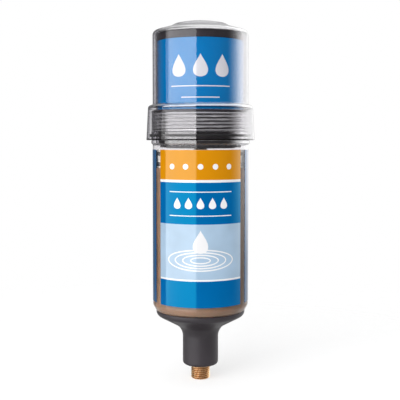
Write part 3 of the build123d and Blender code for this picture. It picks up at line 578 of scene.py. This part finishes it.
# painted shade: the roots of the thread get a darker, rougher brass, standing in for the shadow in
# the grooves
root_shade_brass = metal("brass_root_painted_shade", linear(196, 146, 102), 0.45)
on_pipe = paired(np.abs(nipple_rings[:, 0] - PIPE_CREST_R) < NEAR)
face_form = thread_form(np.linspace(0, 2 * pi, PIPE_AROUND, endpoint=False)[None, :],
                        nipple_rings[:, 1:] + PIPE_STEP / 2, PIPE_PITCH, PIPE_SOFTNESS)
in_root = on_pipe[:, None] & (face_form < 0.3)
lathe("threaded_nipple", nipple_rings, "brass", "lubricator_body", ["outlet_nipple"],
      around=PIPE_AROUND, shift=pipe_thread, inks=[finishes["brass"], root_shade_brass],
      fields=in_root.ravel())

SPINDLE_PITCH = 4.0
SPINDLE_R = 4.95
STUB_R, HALF_FLATS = 3.75, 3.45  # the stub above the screw, and the hexagon cut on it
STUB_LOW_Z, STUB_TOP_Z = 151.6, 158.9


def spindle_thread(angle, r, z):
    """The spindle's lead screw: flat crests at the outside, and grooves a millimetre deep, as
    the form less 1."""
    on = (np.abs(r - SPINDLE_R) < NEAR) * fade(z, 46.2, 151.0, 0.8)
    return (thread_form(angle, z, SPINDLE_PITCH, 1.2) - 1) * on


spindle_profile = rounded([
    (0.0, 42.1), (3.0, 42.1, 0.3), (3.0, 45.6), (4.15, 45.6), (SPINDLE_R, 46.4),
    (SPINDLE_R, 150.8), (4.15, STUB_LOW_Z), (STUB_R, STUB_LOW_Z), (STUB_R, STUB_TOP_Z),
    (3.25, 159.4), (0.0, 159.4),
])


def spindle_shape(angle, r, z):
    """The lead screw, and the flats of the hexagon above it: r = half the flats / cos of the
    angle from the nearest flat."""
    cut = HALF_FLATS / np.cos(angle % (pi / 3) - pi / 6) - STUB_R
    above = (z > STUB_LOW_Z + 0.05) * (r > 0.1)
    foot = (np.abs(z - STUB_LOW_Z) < 0.05) * (np.abs(r - STUB_R) < 0.01)
    return spindle_thread(angle, r, z) + above * cut + foot * cut


lathe("lead_screw", refined(spindle_profile, 46.3, 150.9, 0.28), "spindle_plastic",
      "spindle_drive", ["spindle"], around=72, shift=spindle_shape)


# ==== labels ==================================================================================

LABEL_R, CANISTER_R = 33.25, 33.1
DRIVE_LABEL_R, HOUSING_R = 30.0, 29.85
INK = 0.03  # thickness of a printed motif
white_ink = printed("white_ink", linear(250, 250, 252), (1.0, 1.0, 1.0))
orange_ink = printed("orange_ink", ORANGE, (1.0, 0.82, 0.45))
pale_ink = printed("pale_blue_ink", linear(176, 202, 226), (0.9, 0.96, 1.0), amount=0.1)
deep_ink = printed("deep_blue_ink", linear(8, 70, 132), (0.03, 0.8, 1.0))
blue_ink = finishes["front_label"]


def film(name, middle, half, heights, field_at, inks, node, angles=()):
    """A label film round part of the canister: its section is a thin rectangle, cut at each
    field's height, carried round an arc centred on an angle from the front, and cut also at the
    angles given. field_at(angle, height) gives the ink of each face, by its middle."""
    a = np.union1d(np.linspace(middle - half, middle + half, 61), angles)
    z = np.asarray(heights, float)
    r_loop = np.repeat([LABEL_R, CANISTER_R], len(z))
    z_loop = np.concatenate([z, z[::-1]])
    a_grid = np.radians(a)[:, None] + 0 * z_loop
    grid = np.stack([r_loop * np.sin(a_grid), -r_loop * np.cos(a_grid), z_loop + 0 * a_grid], -1)
    mid_a = (a[:-1] + a[1:]) / 2
    mid_z = (z_loop + np.roll(z_loop, -1)) / 2
    fields = field_at(mid_a[:, None] + 0 * mid_z, mid_z + 0 * mid_a[:, None]).ravel().tolist()
    sweep_all(name, [grid], node, "lubricator_body", [node], inks=inks, fields=fields + [0, 0])


LABEL_LOW, LABEL_TOP = 45.9, 150.3
FRONT_BOUNDS = [63.6, 64.8, 101.3, 128.9, 130.6]
PANEL_HALF, PANEL_LOW, PANEL_TOP = 52, 58, 122


def front_fields(angle, z):
    """From the bottom up: blue, a white line, a pale panel, blue, a white line, and orange."""
    return np.array([0, 2, 3, 0, 2, 1])[np.searchsorted(FRONT_BOUNDS, z)]


def back_fields(angle, z):
    """A white form panel on a blue ground."""
    panel = (np.abs(angle - 180) < PANEL_HALF) & (z > PANEL_LOW) & (z < PANEL_TOP)
    return panel.astype(int)


film("front_label_film", 0, 54, [LABEL_LOW, *FRONT_BOUNDS, LABEL_TOP], front_fields,
     [blue_ink, orange_ink, white_ink, pale_ink], "front_label")
film("back_label_film", 180, 115, [LABEL_LOW, PANEL_LOW, PANEL_TOP, LABEL_TOP], back_fields,
     [finishes["back_label"], white_ink], "back_label", [180 - PANEL_HALF, 180 + PANEL_HALF])
# the drive unit's label goes all the way round, as a thin rectangle carried in a circle
sleeve_a = np.radians(np.linspace(0, 360, 180, endpoint=False))[:, None]
sleeve_r = np.array([DRIVE_LABEL_R, DRIVE_LABEL_R, HOUSING_R, HOUSING_R])
sleeve_z = np.array([177.1, 224.2, 224.2, 177.1]) + 0 * sleeve_a
sleeve = np.stack([sleeve_r * np.sin(sleeve_a), -sleeve_r * np.cos(sleeve_a), sleeve_z], -1)
sweep_all("drive_label_film", [sleeve], "drive_label", "lubricator_body", ["drive_label"],
          closed=True)


def shape(left, right, up, radius, across=7):
    """A printed shape on a cylinder, ruled between its left and right edges at each height: the
    point is left (1 - t) + right t, on the ink's face and again on the film below it."""
    t = np.linspace(0, 1, across)
    s = left[:, None] * (1 - t) + right[:, None] * t
    z = up[:, None] + 0 * t
    return np.concatenate(
        [on_cylinder(s, z, radius, INK), on_cylinder(s[:, ::-1], z, radius)], axis=1
    )


def drop(s, z, height, radius, steps=28):
    """An oil drop, round below, with two sides that run in to a point above. Its half width is
    c sin(t) sin(t / 2)^1.5 at a height of h (1 + cos t) / 2, with t from the point down."""
    t = np.linspace(0.06, pi - 0.02, steps)
    half = 0.47 * height * np.sin(t) * np.sin(t / 2) ** 1.5
    up = z + height * (0.5 + np.cos(t) / 2)
    return shape(s - half, s + half, up, radius)


def bar(s, z, width, height, radius, across=31):
    """A plain printed bar: its edges are s - w / 2 and s + w / 2."""
    up = np.linspace(z, z + height, 3)
    return shape(s - width / 2 + 0 * up, s + width / 2 + 0 * up, up, radius, across)


def dot(s, z, size, radius):
    """A printed disc: half width R sin(t) at a height of R cos(t), with size as R."""
    t = np.linspace(0.1, pi - 0.1, 17)
    half = size * np.sin(t)
    return shape(s - half, s + half, z + size * np.cos(t), radius)


def ripple(s, z, wide, high, stroke, radius):
    """An elliptical ring: a section of four points follows (w cos t, h sin t)."""
    t = np.linspace(0, 2 * pi, 72, endpoint=False)
    edges = []
    for grow, lift in ((stroke, INK), (-stroke, INK), (-stroke, 0.0), (stroke, 0.0)):
        edges.append(on_cylinder(s + (wide + grow) * np.cos(t), z + (high + grow) * np.sin(t),
                                 radius, lift))
    return np.stack(edges, axis=1)


drive_print = [drop(s, 198.4, 15.0, DRIVE_LABEL_R) for s in (-15.0, 0.0, 15.0)]
drive_print += [bar(0, 192.0, 42, 0.7, DRIVE_LABEL_R)]
drive_print += [bar(0, 184.6, 26, 0.7, DRIVE_LABEL_R, 21)]
sweep_all("drive_label_print", drive_print, "drive_label", "lubricator_body", inks=[white_ink])

front_print = [drop(s, 111.5, 7.5, LABEL_R) for s in (-16, -8, 0, 8, 16)]
front_print += [bar(0, z, 44, 0.6, LABEL_R) for z in (122.4, 106.6)]
front_print += [dot(s, 139.3, 1.9, LABEL_R) for s in (-20, -10, 0, 10, 20)]
front_print += [drop(0, 82.0, 15.5, LABEL_R, 40)]
sweep_all("front_label_print", front_print, "front_label", "lubricator_body", inks=[white_ink])
ripples = [ripple(0, 77.5, w, w * 0.3, 0.45, LABEL_R) for w in (6.5, 12.0, 17.5, 23.0)]
sweep_all("front_label_ripples", ripples, "front_label", "lubricator_body", closed=True,
          inks=[white_ink])
form_rules = [bar(pi * LABEL_R, z, 54, 0.35, LABEL_R) for z in np.arange(66.0, 120.0, 8.0)]
sweep_all("back_label_rules", form_rules, "back_label", "lubricator_body", inks=[deep_ink])


# ==== numbers round the dials =================================================================

def numeral(text, x, y, z, size):
    """A plain number lying flat, centred on a place: its mesh is read from a text outline."""
    outline = bpy.data.curves.new("numeral", "FONT")
    outline.body = text
    outline.size = size * MM
    outline.align_x = "CENTER"
    outline.align_y = "CENTER"
    outline.extrude = 0.02 * MM
    carrier = placed("numeral", outline)
    bpy.context.view_layer.update()
    flat = bpy.data.meshes.new_from_object(carrier)
    bpy.data.objects.remove(carrier)
    flat.transform(Matrix.Translation((x * MM, y * MM, z * MM)))
    return flat


NUMBERS_Z = 229.92  # a hair above the cap's face
DIAL_Y = 8
# for the period's and the volume's dial: its X, the radius of its circle of numbers, how many
# they are, the degrees from one to the next, and their size
marks = bmesh.new()
for dial_x, circle_r, count, step, size in ((-10, 7.6, 12, -30, 2.0), (10, 7.8, 3, 45, 2.4)):
    for number in range(count):
        turn = radians(90 + step * number)
        marks.from_mesh(numeral(str(number + 1), dial_x + circle_r * cos(turn),
                                DIAL_Y + circle_r * sin(turn), NUMBERS_Z, size))
marks_mesh = bpy.data.meshes.new("dial_numbers")
marks.to_mesh(marks_mesh)
marks.free()
marks_mesh.materials.append(white_ink)
dial_numbers = placed("dial_numbers", marks_mesh)
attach(dial_numbers, "lubricator_body")


# ==== floor, light and camera =================================================================

FLOOR_Z, FLOOR_R = -10.15 * MM, 0.5
floor_finish = Finish("pale_floor")
pale = floor_finish.ramp(floor_finish.noise(3, 2), 0.3, 0.7,
                         ((0.86, 0.86, 0.86), (0.88, 0.88, 0.88)))
floor_finish.join(pale, floor_finish.shader.inputs["Base Color"])
set_value(floor_finish.shader, Roughness=0.9, Specular_IOR_Level=0.1,
          Emission_Color=(1.0, 1.0, 1.0))
# what the eye sees is lifted to white, and the object's shadow stays in it
floor_path = floor_finish.add("ShaderNodeLightPath")
lift = floor_finish.add("ShaderNodeMath", operation="MULTIPLY")
lift.inputs[1].default_value = 0.32
floor_finish.join(floor_path.outputs["Is Camera Ray"], lift.inputs[0])
floor_finish.join(lift.outputs[0], floor_finish.shader.inputs["Emission Strength"])
# towards its rim the floor gives way to the backdrop, and near the object it keeps the shadow
reach = floor_finish.add("ShaderNodeVectorMath", operation="LENGTH")
floor_finish.join(floor_finish.place, reach.inputs[0])
away = floor_finish.add("ShaderNodeMapRange", interpolation_type="SMOOTHSTEP")
set_range(away, 0.06, 0.42, 0.35, 1.0)
floor_finish.join(reach.outputs["Value"], away.inputs["Value"])
gone = floor_finish.add("ShaderNodeBsdfTransparent")
floor_mix = floor_finish.add("ShaderNodeMixShader")
floor_finish.join(away.outputs["Result"], floor_mix.inputs["Fac"])
floor_finish.join(floor_finish.shader.outputs[0], floor_mix.inputs[1])
floor_finish.join(gone.outputs[0], floor_mix.inputs[2])
floor_finish.join(floor_mix.outputs[0], floor_finish.out.inputs["Surface"])

t = np.linspace(0, 2 * pi, 96, endpoint=False)
rim = np.stack([FLOOR_R * np.cos(t), FLOOR_R * np.sin(t), FLOOR_Z + 0 * t], -1)
floor_mesh = bpy.data.meshes.new("floor")
floor_mesh.from_pydata(rim.tolist(), [], [list(range(len(rim)))])
floor_mesh.materials.append(floor_finish.material)
floor = placed("floor", floor_mesh)

world = bpy.data.worlds.new("studio")
bpy.context.scene.world = world
world.use_nodes = True
sky = world.node_tree
sky.nodes.clear()
path = sky.nodes.new("ShaderNodeLightPath")
direction = sky.nodes.new("ShaderNodeTexCoord").outputs["Generated"]
split = sky.nodes.new("ShaderNodeSeparateXYZ")
sky.links.new(direction, split.inputs[0])


def sky_ramp(axis, low, high, start, end):
    """A value that goes smoothly from start to end as a direction's X, Y or Z goes from low to
    high."""
    node = sky.nodes.new("ShaderNodeMapRange")
    node.interpolation_type = "SMOOTHSTEP"
    set_range(node, low, high, start, end)
    sky.links.new(split.outputs[axis], node.inputs["Value"])
    return node.outputs["Result"]


def sky_math(operation, a, b):
    """Two values multiplied, or the greater of them."""
    node = sky.nodes.new("ShaderNodeMath")
    node.operation = operation
    sky.links.new(a, node.inputs[0])
    sky.links.new(b, node.inputs[1])
    return node.outputs[0]


def sky_light(strength):
    """White light of a strength."""
    node = sky.nodes.new("ShaderNodeBackground")
    node.inputs["Color"].default_value = (1, 1, 1, 1)
    node.inputs["Strength"].default_value = strength
    return node


def sky_mix(factor, a, b):
    """The light a where the factor is 0, and b where it is 1."""
    node = sky.nodes.new("ShaderNodeMixShader")
    sky.links.new(factor, node.inputs["Fac"])
    sky.links.new(a.outputs[0], node.inputs[1])
    sky.links.new(b.outputs[0], node.inputs[2])
    return node


ambient = sky_light(0.6)
white = sky_light(1.0)
mirrored = sky_light(1.0)
# what the gloss mirrors: a bright wall on the right, from beside the object to behind it, that
# ends at its foot; a backdrop that darkens to the left; and a bright ceiling
right_wall = sky_math("MULTIPLY", sky_ramp("X", 0.12, 0.4, 0.0, 1.0),
                      sky_ramp("Y", -0.35, 0.6, 0.0, 2.1))
right_wall = sky_math("MULTIPLY", right_wall, sky_ramp("Z", -0.25, 0.0, 0.1, 1.0))
ceiling = sky_math("MULTIPLY", sky_ramp("Z", 0.3, 0.7, 0.0, 1.5),
                   sky_ramp("X", -0.7, 0.0, 0.3, 1.0))
backdrop = sky_math("MULTIPLY", sky_ramp("X", -0.4, 0.1, 0.15, 0.85),
                    sky_ramp("Y", 0.3, 0.7, 0.05, 1.0))
sky.links.new(sky_math("MAXIMUM", sky_math("MAXIMUM", right_wall, ceiling), backdrop),
              mirrored.inputs["Strength"])
# through the clear walls the backdrop is white, and the front is half as bright
beyond = sky_light(1.0)
sky.links.new(sky_ramp("Y", -0.1, 0.35, 0.5, 1.0), beyond.inputs["Strength"])
lit = sky_mix(path.outputs["Is Glossy Ray"], ambient, mirrored)
lit = sky_mix(path.outputs["Is Transmission Ray"], lit, beyond)
lit = sky_mix(path.outputs["Is Camera Ray"], lit, white)
sky_out = sky.nodes.new("ShaderNodeOutputWorld")
sky.links.new(lit.outputs[0], sky_out.inputs["Surface"])


def lamp(name, place, target, wide, high, radiance, diffuse=True, glossy=True):
    """A soft box turned to its target: its power is the radiance times pi times its area."""
    light = bpy.data.lights.new(name, "AREA")
    light.shape = "RECTANGLE"
    light.size, light.size_y = wide, high
    light.energy = radiance * pi * wide * high
    box = placed(name, light)
    box.location = place
    box.rotation_euler = (Vector(target) - Vector(place)).to_track_quat("-Z", "Y").to_euler()
    box.visible_camera = False
    box.visible_diffuse = diffuse
    box.visible_glossy = glossy


MIDDLE = (0.0, 0.0, 0.115)
# the tall soft box on the left, whose edge the glossy walls mirror as a sharp line
SOFTBOX_TURN, SOFTBOX_HALF, SOFTBOX_AWAY, SOFTBOX_Z = radians(50), radians(40), 1.3, 0.15
softbox_place = (-SOFTBOX_AWAY * sin(SOFTBOX_TURN), -SOFTBOX_AWAY * cos(SOFTBOX_TURN), SOFTBOX_Z)
softbox_wide = 2 * SOFTBOX_AWAY * sin(SOFTBOX_HALF) / cos(SOFTBOX_HALF)
lamp("left_softbox", softbox_place, (0.0, 0.0, SOFTBOX_Z), softbox_wide, 2.2, 1.85, diffuse=False)
lamp("key", (-0.9, -1.5, 1.1), MIDDLE, 1.8, 1.8, 3.0, glossy=False)
lamp("fill", (1.3, -0.9, 0.6), MIDDLE, 1.2, 1.2, 0.2, glossy=False)

# the eye is level with the collar's lip, and the camera tips down a little
EYE = Vector((0.0, -0.550, 0.1566))
PITCH = radians(2.87)
camera_data = bpy.data.cameras.new("camera")
camera_data.lens = 71.18
camera_data.shift_y = -0.05
camera_data.shift_x = -0.0012
camera_data.sensor_width = 36.0
camera = placed("camera", camera_data)
camera.location = EYE
camera.rotation_euler = (radians(90) - PITCH, 0.0, 0.0)
bpy.context.scene.camera = camera
bpy.context.scene.view_settings.view_transform = "Standard"
